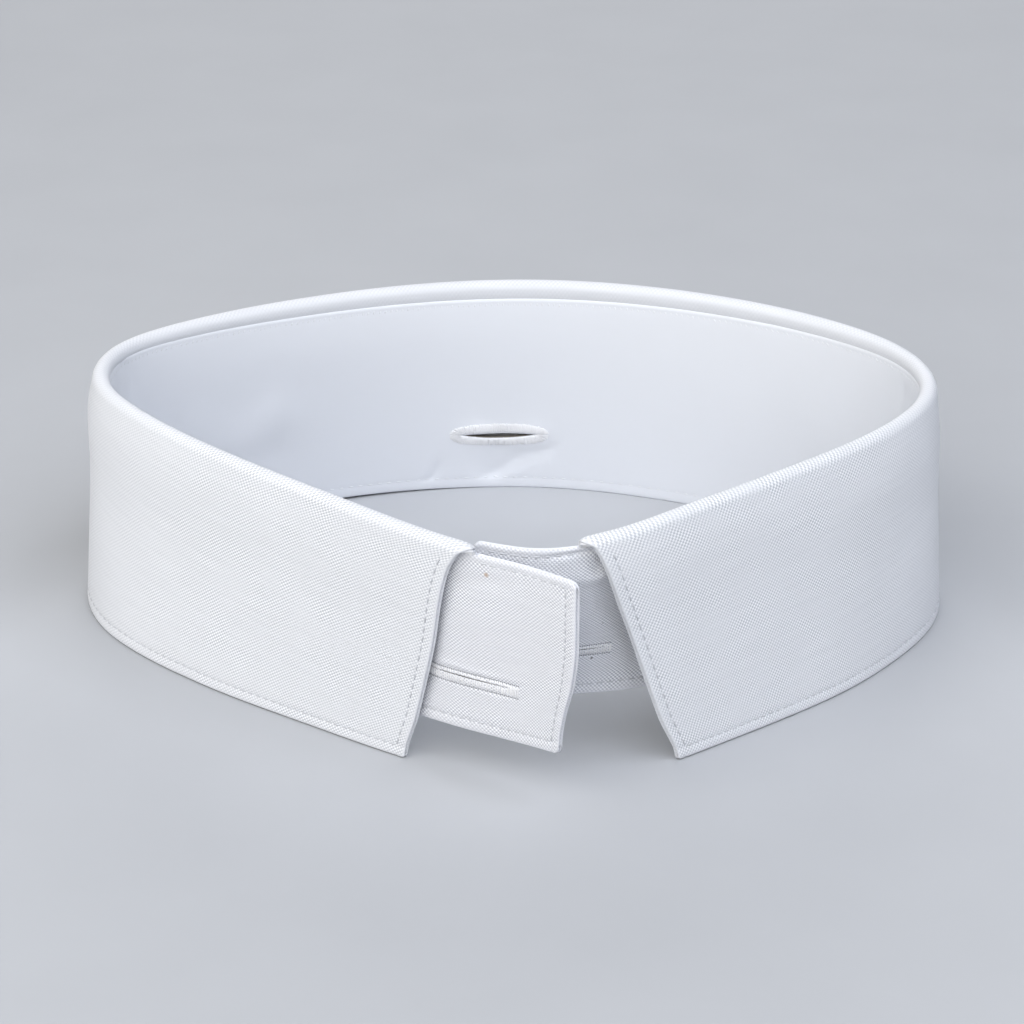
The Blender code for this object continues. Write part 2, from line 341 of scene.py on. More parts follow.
def smooth_curve(knots, values):
    """A natural cubic through the values, for the fold line, whose bend changes evenly."""
    count = len(knots)
    steps = np.diff(knots)
    rises = np.diff(values) / steps
    system = np.eye(count)
    right = np.zeros(count)
    for i in range(1, count - 1):
        system[i, i - 1] = steps[i - 1]
        system[i, i] = 2 * (steps[i - 1] + steps[i])
        system[i, i + 1] = steps[i]
        right[i] = 6 * (rises[i] - rises[i - 1])
    bends = np.linalg.solve(system, right)

    def at(along):
        i = np.clip(np.searchsorted(knots, along) - 1, 0, count - 2)
        step = steps[i]
        a = (knots[i + 1] - along) / step
        b = (along - knots[i]) / step
        cubic = ((a**3 - a) * bends[i] + (b**3 - b) * bends[i + 1]) * step**2 / 6
        return a * values[i] + b * values[i + 1] + cubic

    return at


def level_curve(knots, values):
    """A cubic through the values that never swings past them, for heights and distances."""
    steps = np.diff(knots)
    rises = np.diff(values) / steps
    slopes = np.zeros(len(knots))
    for i in range(1, len(knots) - 1):
        if rises[i - 1] * rises[i] > 0:
            slopes[i] = 2 * rises[i - 1] * rises[i] / (rises[i - 1] + rises[i])

    def at(along):
        along = np.clip(along, knots[0], knots[-1])
        i = np.clip(np.searchsorted(knots, along) - 1, 0, len(knots) - 2)
        step = steps[i]
        t = (along - knots[i]) / step
        value = (2 * t**3 - 3 * t**2 + 1) * values[i] + (3 * t**2 - 2 * t**3) * values[i + 1]
        bend = (t**3 - 2 * t**2 + t) * step * slopes[i]
        return value + bend + (t**3 - t**2) * step * slopes[i + 1]

    return at


PLACES, COLUMNS = read_table(SECTIONS)
CHORDS = np.hypot(np.diff(COLUMNS["x"]), np.diff(COLUMNS["y"]))
KNOTS = np.concatenate([[0.0], np.cumsum(CHORDS)])
BAND_LONG = float(KNOTS[-1])
FOLD_X, FOLD_Y = [smooth_curve(KNOTS, COLUMNS[name]) for name in ("x", "y")]
LEVELS = [level_curve(KNOTS, COLUMNS[name]) for name in ("crest", "drop", "flare", "foot_z", "foot_out")]
CREST, DROP, FLARE, FOOT_Z, FOOT_OUT = LEVELS
LEAF_START = float(KNOTS[PLACES.index("left_corner")])
LEAF_LONG = float(KNOTS[PLACES.index("right_corner")]) - LEAF_START

EDGE_COLUMNS = 5  # of the under ply at each end, which the outer cloth's turned edge covers

EDGES = read_table(FRONT_EDGES)[1]
END_BACK = level_curve(*read_table(TAB_END)[1].values())
LEFT_EDGE, RIGHT_EDGE = [level_curve(EDGES["down"], EDGES[side]) for side in ("left", "right")]
TURNED = read_table(TURNED_EDGE)[1]
TOP = read_table(TOP_EDGE)[1]
SEWN = read_table(SEWN_EDGE)[1]
SIDES, PLIES = ("in_from", "under_from"), ("body", "under")


def place(path, out, height):
    """Points in metres at distances along the fold line, out from it and at heights."""
    reach = 0.05
    run_x = FOLD_X(path + reach) - FOLD_X(path - reach)
    run_y = FOLD_Y(path + reach) - FOLD_Y(path - reach)
    size = np.hypot(run_x, run_y)
    x = FOLD_X(path) - out * run_y / size - BOX_MIDDLE[0]
    y = FOLD_Y(path) + out * run_x / size - BOX_MIDDLE[1]
    return np.stack([x, y, height], axis=-1) * MM


def corner_cut(from_end, radius):
    """How much a rounded corner takes off the height of a piece near its end."""
    inside = np.clip(radius - from_end, 0, radius)
    return radius - np.sqrt(radius**2 - inside**2)


def creased(creases, along, up):
    """How far the creases move the cloth out at each point."""
    high = np.zeros(np.broadcast(along, up).shape)
    for number, (_, c) in enumerate(table_rows(creases)):
        run = np.array([c["to_along"] - c["along"], c["to_up"] - c["up"]])
        long = np.hypot(*run)
        run /= long
        off_along, off_up = along - c["along"], up - c["up"]
        on = (off_along * run[0] + off_up * run[1]) / long
        off = off_up * run[0] - off_along * run[1]
        wander = WANDER * c["reach"] * np.sin(WANDERS * on * math.pi + number)
        fade = np.clip(on + END_PAST, 0, END_FADE) * np.clip(1 + END_PAST - on, 0, END_FADE) / END_FADE**2
        uneven = 1 - UNEVEN + UNEVEN * np.sin(SWELLS * on + 2 * number)
        high += c["high"] * fade * uneven * np.exp(-(((off - wander) / c["reach"]) ** 2))
    return high


def edge_stitch_share(from_edge):
    """1 on the line of an edge's stitches, fading to 0 beside it."""
    return np.clip(1 - np.abs(from_edge - STITCH_IN) / PUCKER_REACH, 0, 1)


def leaf_cloth(along, up, lift):
    """Points of the leaf. lift is the distance out from the middle of its thickness."""
    down = np.clip(1 - up / LEAF_LEG, 0, 1)
    over = np.clip(1 - (up - LEAF_LEG) / (LEAF_FOLD / 2), 0, 1)
    share = along / LEAF_LONG
    shift = LEFT_EDGE(down) * over * np.clip(1 - 2 * share, 0, 1) ** 2
    shift = shift - RIGHT_EDGE(down) * over * np.clip(2 * share - 1, 0, 1) ** 2
    path = LEAF_START + along + shift

    centre = CREST(path) - FOLD_OUTER
    tilt = np.arctan2(FLARE(path) - FOLD_OUTER, centre)
    foot_out = FLARE(path) - HALF / np.cos(tilt)
    top_out = FOLD_MIDDLE * np.cos(tilt)
    top_height = centre + FOLD_MIDDLE * np.sin(tilt)
    leg = np.hypot(top_out - foot_out, top_height)
    calm = np.clip((LEAF_LEG + FOLD_PAST - up) / FOLD_CALM, 0, 1)
    lift = lift + creased(LEAF_CREASES, along, up) * calm * np.clip(up / LEAF_CALM, 0, 1)

    from_end = np.clip(np.minimum(along, LEAF_LONG - along), 0, None)
    cut = corner_cut(from_end, POINT_CORNER) * np.clip(1 - up / HEM, 0, 1)
    risen = np.where(up < HEM, up, HEM + (leg - HEM) * (up - HEM) / (LEAF_LEG - HEM)) + cut
    part = risen / leg
    leg_out = foot_out + (top_out - foot_out) * part + lift * np.cos(tilt)
    leg_height = top_height * part + lift * np.sin(tilt)

    angle = tilt + (math.pi - tilt) * (up - LEAF_LEG) / LEAF_FOLD
    fold_out = (FOLD_MIDDLE + lift) * np.cos(angle)
    fold_height = centre + (FOLD_MIDDLE + lift) * np.sin(angle)

    turned = np.clip((up - LEAF_LEG - LEAF_FOLD) / LEAF_TURN, 0, 1)
    seam = CREST(path) - DROP(path)
    turn_height = centre + (seam - LEAF_LAP - centre) * turned

    on_leg, on_fold = up <= LEAF_LEG, up <= LEAF_LEG + LEAF_FOLD
    out = np.where(on_leg, leg_out, np.where(on_fold, fold_out, -FOLD_MIDDLE - lift))
    height = np.where(on_leg, leg_height, np.where(on_fold, fold_height, turn_height))
    sink = FOLD_CLOSE * (1 - np.minimum(from_end, CLOSE_REACH) / CLOSE_REACH) ** 2
    height = height - sink * np.clip((height - seam) / DROP(path), 0, 1)
    return place(path, out, height)


def band_cloth(along, up, lift):
    """Points of the band. lift is as on the leaf, so the neck face is below 0."""
    near_end = np.clip(np.minimum(along, BAND_LONG - along), 0, None)
    cut = corner_cut(near_end, TAB_CORNER)
    lean = END_BACK(1 - up / BAND_TALL)
    left = np.clip(1 - along / LEAN_REACH, 0, 1)
    right = np.clip(1 - (BAND_LONG - along) / LEAN_REACH, 0, 1)
    path = along + lean * (left - right)

    seam = CREST(path) - DROP(path)
    foot = FOOT_Z(path) + cut
    top = seam - BAND_SHORT - cut
    upper_hem = BAND_TALL - HEM
    between = foot + HEM + (top - foot - 2 * HEM) * (up - HEM) / (upper_hem - HEM)
    height = np.where(up > upper_hem, top - (BAND_TALL - up), between)
    height = np.where(up < HEM, foot + up, height)

    bend = seam - BEND_DROP
    down = np.clip((bend - height) / (bend - FOOT_Z(path)), 0, None)
    leaning = down**2 * (1 + BEND_SOFTNESS) / (down + BEND_SOFTNESS)
    neck = -FOLD_OUTER + (FOOT_OUT(path) + FOLD_OUTER) * leaning
    out = neck + HALF + lift + creased(BAND_CREASES, along, up) * np.clip(up / BAND_CALM, 0, 1)
    return place(path, out, height)


def turned_edge(step, long):
    """The columns of a piece from one turned end to the other, and their bodies, for both plies."""
    flat = TURNED["in_from"][-1]
    middle = np.linspace(flat, long - flat, round((long - 2 * flat) / step) + 1)[1:-1]
    sides = [np.concatenate([TURNED[side], middle, (long - TURNED[side])[::-1]]) for side in SIDES]
    bodies = [np.concatenate([TURNED[ply], np.ones(len(middle)), TURNED[ply][::-1]]) for ply in PLIES]
    return sides, bodies


def into_scene(name, data):
    thing = bpy.data.objects.new(name, data)
    bpy.context.scene.collection.objects.link(thing)
    return thing


def new_solid(name, corners, faces, materials):
    mesh = bpy.data.meshes.new(name)
    mesh.from_pydata([tuple(corner) for corner in corners], [], [tuple(face) for face in faces])
    for material in materials:
        mesh.materials.append(material)
    return into_scene(name, mesh)


def new_piece(name, corners, faces, materials):
    piece = new_solid(name, corners, faces, materials)
    piece.data.shade_smooth()
    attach(piece, "root")
    return piece


def cloth_piece(name, surface, alongs, ups, bodies, grain, materials, pucker, pressed):
    """A closed wall: an outer and an under ply that meet in the groove round all four edges.

    alongs, ups and bodies are pairs, for the two plies. grain gives where each point lies on the uncut cloth, for
    the weave, and the layer place keeps its along and up. pressed is where the weave shows less.
    """
    plies, flats, places, flattened = [], [], [], []
    for side, (ply_alongs, ply_ups, body) in enumerate(zip(alongs, ups, bodies)):
        along, up = np.meshgrid(ply_alongs, ply_ups, indexing="ij")
        away = 1 - 2 * side
        plies.append(surface(along, up, away * (HALF * body - pucker(along, up))))
        flats.append(np.stack(grain(along, up), axis=-1) * MM)
        places.append(np.stack([along, up], axis=-1) * MM)
        flattened.append(pressed(along, up)[..., None])
    columns, rows = body.shape
    count = columns * rows
    front = np.arange(count).reshape(columns, rows)
    back = front.copy()
    hidden = (columns - 2) * (rows - 2)
    back[1:-1, 1:-1] = np.arange(count, count + hidden).reshape(columns - 2, rows - 2)

    def all_points(pair):
        size = pair[0].shape[-1]
        return np.concatenate([pair[0].reshape(-1, size), pair[1][1:-1, 1:-1].reshape(-1, size)])

    def quads(index):
        return np.stack([index[:-1, :-1], index[1:, :-1], index[1:, 1:], index[:-1, 1:]], axis=-1).reshape(-1, 4)

    outward = quads(front)[:, ::-1]
    faces = np.concatenate([outward, quads(back)])
    piece = new_piece(name, all_points(plies), faces.tolist(), materials)
    corner_of = np.empty(len(piece.data.loops), np.int32)
    piece.data.loops.foreach_get("vertex_index", corner_of)
    for layer, pair in (("grain", flats), ("place", places)):
        piece.data.uv_layers.new(name=layer).data.foreach_set("uv", all_points(pair)[corner_of].reshape(-1))
    under = np.zeros((columns - 1, rows - 1), np.int32)
    under[EDGE_COLUMNS:-EDGE_COLUMNS] = 1
    side = np.concatenate([np.zeros(len(outward), np.int32), under.reshape(-1)])
    piece.data.polygons.foreach_set("material_index", side)
    worn_flat = piece.data.attributes.new("pressed", "FLOAT", "POINT")
    worn_flat.data.foreach_set("value", all_points(flattened).reshape(-1))
    piece.data.update()
    return piece


def threads(name, centres, ups, radius, material):
    """Lengths of thread, each along its row of centres, tapering into the cloth at both ends."""
    count, steps = centres.shape[:2]
    run = np.gradient(centres, axis=1)
    run /= np.linalg.norm(run, axis=-1, keepdims=True)
    across = np.cross(run, ups)
    across /= np.linalg.norm(across, axis=-1, keepdims=True)
    rise = np.cross(across, run)
    taper = np.ones(steps)
    taper[[0, -1]] = THREAD_END
    turn = 2 * math.pi * np.arange(THREAD_SIDES) / THREAD_SIDES
    ring = across[:, :, None] * np.cos(turn)[:, None] + rise[:, :, None] * np.sin(turn)[:, None]
    corners = centres[:, :, None] + ring * (radius * MM * taper)[None, :, None, None]
    index = np.arange(count * steps * THREAD_SIDES).reshape(count, steps, THREAD_SIDES)
    around = np.roll(index, -1, axis=2)
    walls = np.stack([index[:, :-1], index[:, 1:], around[:, 1:], around[:, :-1]], axis=-1).reshape(-1, 4)
    caps = np.concatenate([index[:, 0], index[:, -1, ::-1]])
    return new_piece(name, corners.reshape(-1, 3), walls.tolist() + caps.tolist(), [material])


def cloth_up(surface, along, up, side):
    """The directions away from a face of the cloth."""
    beyond = 0.1
    away = surface(along, up, side * (HALF + beyond)) - surface(along, up, side * HALF)
    return away / np.linalg.norm(away, axis=-1, keepdims=True)


def row_of_stitches(surface, corners, side, rng, sunk=STITCH_SUNK):
    """Centres and upward directions of the stitches along a line, on one side of the cloth."""
    corners = np.array(corners, float)
    lengths = np.hypot(*np.diff(corners, axis=0).T)
    marks = np.concatenate([[0], np.cumsum(lengths)])
    count = int(marks[-1] / STITCH)
    starts = (np.arange(count) + 0.5 * (1 - STITCH_SEEN / STITCH)) * marks[-1] / count
    starts = starts + rng.normal(0, START_STRAY, count)
    steps = np.linspace(0, 1, STITCH_STEPS)
    at = starts[:, None] + STITCH_SEEN * steps[None]
    along = np.interp(at, marks, corners[:, 0]) + rng.normal(0, ROW_STRAY, (count, 1))
    up = np.interp(at, marks, corners[:, 1]) + rng.normal(0, ROW_STRAY, (count, 1))
    lift = side * (HALF * STITCH_BED + STITCH_ARCH * np.sin(math.pi * steps)[None] - sunk)
    return surface(along, up, lift), cloth_up(surface, along, up, side)


def join_rows(rows):
    return np.concatenate([row[0] for row in rows]), np.concatenate([row[1] for row in rows])


# ---- materials


def linear(hex_colour):
    """An sRGB hex colour as linear values."""
    parts = [int(hex_colour[i : i + 2], 16) / 255 for i in (1, 3, 5)]
    return tuple(c / 12.92 if c <= 0.04045 else ((c + 0.055) / 1.055) ** 2.4 for c in parts) + (1.0,)


def fit(node, settings):
    """Sets a node's properties and sockets. A socket that is given a node or an output is linked to it."""
    for key, value in settings.items():
        source = getattr(value, "outputs", [value])[0]
        if isinstance(source, bpy.types.NodeSocket):
            node.id_data.links.new(source, node.inputs[key])
        elif isinstance(key, str) and hasattr(node, key):
            setattr(node, key, value)
        else:
            node.inputs[key].default_value = value
    return node


def new_material(name):
    """A material, its shader, and the function that adds a node to it with its settings and links."""
    material = bpy.data.materials.new(name)
    material.use_nodes = True
    nodes = material.node_tree.nodes

    def add(kind, settings):
        return fit(nodes.new("ShaderNode" + kind), settings)

    return material, nodes["Principled BSDF"], add


WARP = 2400.0  # threads to the metre, along the piece
WEFT = 2700.0

# The cloth's unevenness: over what stretch its threads drift and how far, the slubs, the patches where the weave
# shows more or less, the faint wrinkles, and the depths of weave and wrinkles.
DRIFT_WIDE = 11.0
DRIFT = 0.6
SLUB_LONG = 14.0
SLUB_THICK = 0.7
PATCH_WIDE = 6.0
WRINKLE_WIDE = 18.0
WEAVE_DEEP = 0.06
WRINKLE_DEEP = 0.6

SLUB_TONE = 0.06  # how much lighter or darker a slub is, of the difference between the two colours
PATCH_FAINT = 0.45  # how much of the weave shows in the faintest patches
PRESSED_FLAT = 0.92  # how much of it goes where the cloth is smoothed
FLOAT_EDGE = 0.4  # the crossing's height at which a float has its full colour
FLOAT_HIGH = 1.6
FLOAT_ROUGH = 0.72  # the threads' tops are pressed smoother than the hollows between them
HOLLOW_ROUGH = 0.9

# The painted shade of the needle holes and the marks of the specks: their strength, and where a speck is full
# and where it has faded, by its radius.
NEEDLE_SHADE = 0.85
NEEDLE_SHADE_COLOUR = "#6E7076"
SPECK_SHADE = 0.8
SPECK_CORE = 0.5
SPECK_RIM = 1.4

# The sewing cotton's twist and worn stretches, the twist's depth and its part in the roughness, and the share of
# the colour that worn cotton keeps.
TWIST_LONG = 0.38
WORN_LONG = 7.0
TWIST_DEEP = 0.04
TWIST_ROUGH = 0.08
WORN_DARK = 0.86


def painted_needle_shade(add, colour):
    """The cloth's colour with painted shade in the needle's holes along the front buttonholes."""
    parts = add("SeparateXYZ", {"Vector": add("UVMap", {"uv_map": "place"})}).outputs
    off_along = add("Math", {"operation": "PINGPONG", 0: parts["X"], 1: NEEDLE_PITCH * MM / 2})
    fade = {"From Min": NEEDLE_CORE * MM, "From Max": NEEDLE_RIM * MM, "To Min": NEEDLE_SHADE, "To Max": 0.0}
    shade = linear(NEEDLE_SHADE_COLOUR)
    for _, row in table_rows(NEEDLE_ROWS):
        off_up = add("Math", {"operation": "SUBTRACT", 0: parts["Y"], 1: row["up"] * MM})
        off = add("CombineXYZ", {"X": off_along, "Y": off_up})
        away = add("VectorMath", {"operation": "LENGTH", 0: off}).outputs["Value"]
        hole = add("MapRange", {**fade, "Value": away})
        for end, side in (("from", "GREATER_THAN"), ("to", "LESS_THAN")):
            inside = add("Math", {"operation": side, 0: parts["X"], 1: row[end] * MM})
            hole = add("Math", {"operation": "MULTIPLY", 0: hole, 1: inside})
        colour = add("Mix", {"data_type": "RGBA", 0: hole, 6: colour, 7: shade}).outputs[2]
    return colour


def poplin(name, light, shade, weave, relief, slant=0.0, specks=(), holes=False):
    """Bleached cotton poplin, boiled, starched and pressed: plain weave of about 61 by 69 threads to the inch.

    The eye sees matt white with fine slanting rows where warp and weft pass over each other, slight slubs, and a
    faint dry sheen from the starch. light and shade are painted colours for the lit and the shaded floats, a
    painted shading of the weave, as warp and weft are the same white. weave is the share of that difference that
    shows, relief the strength of the threads' bump, and slant how much more one diagonal shows than the other.
    """
    material, shader, add = new_material(name)
    fit(shader, {"Specular IOR Level": 0.32, "Sheen Weight": 0.1, "Sheen Roughness": 0.5})

    grain = add("UVMap", {"uv_map": "grain"})
    wander = add("TexNoise", {"Scale": 1 / (DRIFT_WIDE * MM), "Detail": 2.0, "Vector": grain})
    bend = add("VectorMath", {"operation": "SUBTRACT", 0: wander.outputs["Color"], 1: (0.5, 0.5, 0.5)})
    bend = add("VectorMath", {"operation": "SCALE", "Scale": DRIFT * MM, 0: bend})
    cloth = add("VectorMath", {"operation": "ADD", 0: grain, 1: bend})
    parts = add("SeparateXYZ", {"Vector": cloth}).outputs

    def thread_wave(output, count, wave):
        phase = add("Math", {"operation": "MULTIPLY", 0: output, 1: count * math.pi})
        return add("Math", {"operation": wave, 0: phase})

    warp, warp_beside = [thread_wave(parts["X"], WARP, wave) for wave in ("SINE", "COSINE")]
    weft, weft_beside = [thread_wave(parts["Y"], WEFT, wave) for wave in ("SINE", "COSINE")]
    crossing = add("Math", {"operation": "MULTIPLY", 0: warp, 1: weft})
    beside = add("Math", {"operation": "MULTIPLY", 0: warp_beside, 1: weft_beside})
    slanting = add("Math", {"operation": "MULTIPLY_ADD", 0: beside, 1: slant, 2: crossing})
    warp_round, weft_round = [add("Math", {"operation": "ABSOLUTE", 0: wave}) for wave in (warp, weft)]
    warp_high = add("Math", {"operation": "ADD", 0: warp_round, 1: crossing})
    weft_high = add("Math", {"operation": "SUBTRACT", 0: weft_round, 1: crossing})
    high = add("Math", {"operation": "MAXIMUM", 0: warp_high, 1: weft_high})

    slub_size = (1 / (SLUB_LONG * MM), 1 / (SLUB_THICK * MM), 1.0)
    slub_map = add("Mapping", {"Scale": slub_size, "Vector": cloth})
    slubs = add("TexNoise", {"Scale": 1.0, "Detail": 1.0, "Vector": slub_map})
    slub_tones = {"From Min": 0.3, "From Max": 0.7, "To Min": -SLUB_TONE, "To Max": SLUB_TONE}
    uneven = add("MapRange", {**slub_tones, "Value": slubs})
    patches = add("TexNoise", {"Scale": 1 / (PATCH_WIDE * MM), "Detail": 2.0, "Vector": grain})
    patch_shares = {"From Min": 0.35, "From Max": 0.68, "To Min": PATCH_FAINT * weave, "To Max": weave}
    clear = add("MapRange", {**patch_shares, "Value": patches})
    pressed = add("Attribute", {"attribute_name": "pressed"}).outputs["Fac"]
    raised = add("Math", {"operation": "MULTIPLY_ADD", 0: pressed, 1: -PRESSED_FLAT, 2: 1.0})
    shown = add("Math", {"operation": "MULTIPLY", 0: raised, 1: clear})
    float_tones = {"From Min": -FLOAT_EDGE, "From Max": FLOAT_EDGE, "To Min": -1.0, "To Max": 1.0}
    floats = add("MapRange", {**float_tones, "Value": slanting})
    tone = add("Math", {"operation": "MULTIPLY", 0: floats, 1: shown})
    tone = add("Math", {"operation": "ADD", 0: tone, 1: uneven})
    tone = add("Math", {"operation": "MULTIPLY_ADD", 0: tone, 1: 0.5, 2: 0.5})
    # Painted light and shade of the floats, in place of light falling on the weave's relief.
    between = {"data_type": "RGBA", "clamp_factor": True, 6: linear(shade), 7: linear(light)}
    colour = add("Mix", {**between, 0: tone}).outputs[2]
    for spot, radius, stain in specks:
        here = add("TexCoord", {}).outputs["Object"]
        away = add("VectorMath", {"operation": "DISTANCE", 0: here, 1: spot}).outputs["Value"]
        core, rim = radius * SPECK_CORE, radius * SPECK_RIM
        fade = {"From Min": core, "From Max": rim, "To Min": SPECK_SHADE, "To Max": 0.0}
        mark = add("MapRange", {**fade, "Value": away})
        colour = add("Mix", {"data_type": "RGBA", 0: mark, 6: colour, 7: linear(stain)}).outputs[2]
    # Painted shade in the needle holes along the front buttonholes.
    if holes:
        colour = painted_needle_shade(add, colour)

    roughs = {"From Min": 0.0, "From Max": FLOAT_HIGH, "To Min": HOLLOW_ROUGH, "To Max": FLOAT_ROUGH}
    rough = add("MapRange", {**roughs, "Value": high})
    relief_here = add("Math", {"operation": "MULTIPLY", 0: raised, 1: relief})
    bump = add("Bump", {"Distance": WEAVE_DEEP * MM, "Height": high, "Strength": relief_here})
    soft = add("TexNoise", {"Scale": 1 / (WRINKLE_WIDE * MM), "Detail": 3.0, "Vector": grain})
    wrinkle = add("Bump", {"Strength": 0.25, "Distance": WRINKLE_DEEP * MM, "Height": soft, "Normal": bump})
    fit(shader, {"Base Color": colour, "Roughness": rough, "Normal": wrinkle})
    return material


def sewing_cotton(name, colour, roughness):
    """Bleached sewing cotton, glazed when it was wound: a twisted thread, a little smoother than the cloth."""
    material, shader, add = new_material(name)
    here = add("TexCoord", {}).outputs["Object"]
    twist = add("TexNoise", {"Scale": 1 / (TWIST_LONG * MM), "Detail": 1.0, "Vector": here})
    worn = add("TexNoise", {"Scale": 1 / (WORN_LONG * MM), "Detail": 1.0, "Vector": here})
    base = linear(colour)
    dull = tuple(c * WORN_DARK for c in base[:3]) + (1.0,)
    shades = add("Mix", {"data_type": "RGBA", 0: worn, 6: dull, 7: base}).outputs[2]
    roughs = {"To Min": roughness - TWIST_ROUGH, "To Max": roughness + TWIST_ROUGH}
    rough = add("MapRange", {**roughs, "Value": twist})
    bump = add("Bump", {"Strength": 0.4, "Distance": TWIST_DEEP * MM, "Height": twist})
    fit(shader, {"Specular IOR Level": 0.4, "Base Color": shades, "Roughness": rough, "Normal": bump})
    return material


# ---- the pieces

# Both pieces are cut on shallow curves, the band's the other way, so their grain slants towards the front.
LEAF_CUT_RADIUS = 1780.0
LEAF_STRAIGHT = 247.0  # how far along the leaf its grain is straight
BAND_CUT_RADIUS = -2140.0


def cut_from(radius, straight):
    """Where a piece's points lie on the uncut cloth."""

    def grain(along, up):
        turn = (along - straight) / radius
        return (radius - up) * np.sin(turn), radius - (radius - up) * np.cos(turn)

    return grain


def drawn_in(along, up, long, on_end):
    """How far the stitches along a piece's lower edge and up its ends draw the cloth in."""
    ends = np.minimum(along, long - along)
    row, end = edge_stitch_share(up) * (ends > STITCH_IN), edge_stitch_share(ends) * on_end
    row_hole, end_hole = [0.5 + 0.5 * np.cos(2 * math.pi * run / STITCH) for run in (along, up)]
    return PUCKER * np.maximum(row * row_hole, end * end_hole)


def leaf_pucker(along, up):
    return drawn_in(along, up, LEAF_LONG, (up > STITCH_IN) & (up < LEAF_LEG))


def band_pucker(along, up):
    return drawn_in(along, up, BAND_LONG, up < BAND_TALL - 1)


def smoothed(along, up, long, there):
    """1 where the cloth is smoothed flat, and 0 where its weave shows sharply. there is a piece's own share."""
    from_front = np.minimum(along, long - along)
    back = SIDE_SMOOTHED * np.clip((from_front - SHARP_TO) / SMOOTHED_IN, 0, 1)
    edge = EDGE_SMOOTHED * np.clip((EDGE_WIDE + EDGE_FADE - np.minimum(from_front, up)) / EDGE_FADE, 0, 1)
    return np.maximum(there, np.maximum(back, edge))


def leaf_smoothed(along, up):
    by_neck = np.clip((up - LEAF_LEG - LEAF_FOLD * NECK_FROM) / (LEAF_FOLD * NECK_FADE), 0, 1)
    return smoothed(along, up, LEAF_LONG, by_neck)


def band_smoothed(along, up):
    strip = STRIP_SMOOTHED * np.clip((up - (BAND_TALL - TAB_STITCH_IN) + STRIP_PAST) / EDGE_FADE, 0, 1)
    return smoothed(along, up, BAND_LONG, strip)


def make_leaf(cloths):
    alongs, along_bodies = turned_edge(LEAF_STEP, LEAF_LONG)
    flat = TURNED["in_from"][-1]
    leg = np.linspace(flat, LEAF_LEG, round((LEAF_LEG - flat) / LEAF_ROW) + 1)[1:]
    fold = LEAF_LEG + LEAF_FOLD * np.arange(1, FOLD_ROWS + 1) / FOLD_ROWS
    turn = LEAF_TALL - SEWN["from_edge"]
    ups = [np.concatenate([TURNED[side], leg, fold, turn]) for side in SIDES]
    tail = np.concatenate([np.ones(len(leg) + len(fold)), SEWN["body"]])
    bodies = [np.outer(along, np.concatenate([TURNED[ply], tail])) for along, ply in zip(along_bodies, PLIES)]
    grain = cut_from(LEAF_CUT_RADIUS, LEAF_STRAIGHT)
    leaf = cloth_piece("leaf_cloth", leaf_cloth, alongs, ups, bodies, grain, cloths, leaf_pucker, leaf_smoothed)
    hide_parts("leaf")
    return leaf


def make_band(cloths):
    alongs, along_bodies = turned_edge(BAND_STEP, BAND_LONG)
    low, high = TURNED["in_from"][-1], BAND_TALL - TOP["in_from"][-1]

    def rows(start, end, step):
        return np.linspace(start, end, round((end - start) / step) + 1)[1:]

    lower, upper = rows(low, FINE_UPS[0], BAND_ROW), rows(FINE_UPS[1], high, BAND_ROW)[:-1]
    middle = np.concatenate([lower, rows(*FINE_UPS, FINE_ROW), upper])
    ups = [np.concatenate([TURNED[side], middle, BAND_TALL - TOP[side][::-1]]) for side in SIDES]
    under_leaf = np.minimum(alongs[0] - LEAF_START, LEAF_START + LEAF_LONG - alongs[0])
    sewn = np.clip(under_leaf + ROW_SHORT, 0, 1)
    upper = TOP["tab"][::-1] + np.outer(sewn, (TOP["seam"] - TOP["tab"])[::-1])
    bodies = []
    for along_body, ply in zip(along_bodies, PLIES):
        lower = np.outer(along_body, np.concatenate([TURNED[ply], np.ones(len(middle))]))
        bodies.append(np.concatenate([lower, upper * along_body[:, None]], axis=1))
    grain = cut_from(BAND_CUT_RADIUS, BAND_LONG / 2)
    band = cloth_piece("band_cloth", band_cloth, alongs, ups, bodies, grain, cloths, band_pucker, band_smoothed)
    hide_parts("band")
    return band


def slit_lips(hole, share):
    """Heights of a slit's upper and lower lip at shares of the way along it, from -1 to 1."""
    arch = 1 - share**2
    return hole["up"] + hole["gape"] / 2 * arch, hole["up"] - (hole["gape"] / 2 + hole["sag"]) * arch


def slit_cutter(name, hole, raw_edge_shade):
    """A lens-shaped prism along the slit, right through the band."""
    steps = np.linspace(-1, 1, SLIT_STEPS)
    upper, lower = slit_lips(hole, steps)
    alongs = hole["along"] + steps * hole["length"] / 2
    ring_along = np.concatenate([alongs, alongs[-2:0:-1]])
    ring_up = np.concatenate([upper, lower[-2:0:-1]])
    count = len(ring_along)
    near, far = [band_cloth(ring_along, ring_up, np.full(count, side * CUT_THROUGH)) for side in (-1, 1)]
    faces = [list(range(count))[::-1], list(range(count, 2 * count))]
    for i in range(count):
        j = (i + 1) % count
        faces.append([i, j, count + j, count + i])
    return new_solid(name, np.concatenate([near, far]), faces, [raw_edge_shade])


def cut_slits(band, raw_edge_shade):
    """Cuts the slits, which shows the interlining's raw edge in a colour darkened as painted shade, and takes the
    cutters away.
    """
    for name, hole in table_rows(BUTTONHOLES):
        cutter = slit_cutter(f"slit_{name}", hole, raw_edge_shade)
        cut = band.modifiers.new(f"cut_{name}", "BOOLEAN")
        cut.operation = "DIFFERENCE"
        cut.solver = "EXACT"
        cut.object = cutter
        cut.material_mode = "TRANSFER"
    graph = bpy.context.evaluated_depsgraph_get()
    whole = bpy.data.meshes.new_from_object(band.evaluated_get(graph))
    cutters = [cut.object for cut in band.modifiers]
    band.modifiers.clear()
    band.data = whole
    for cutter in cutters:
        bpy.data.objects.remove(cutter)


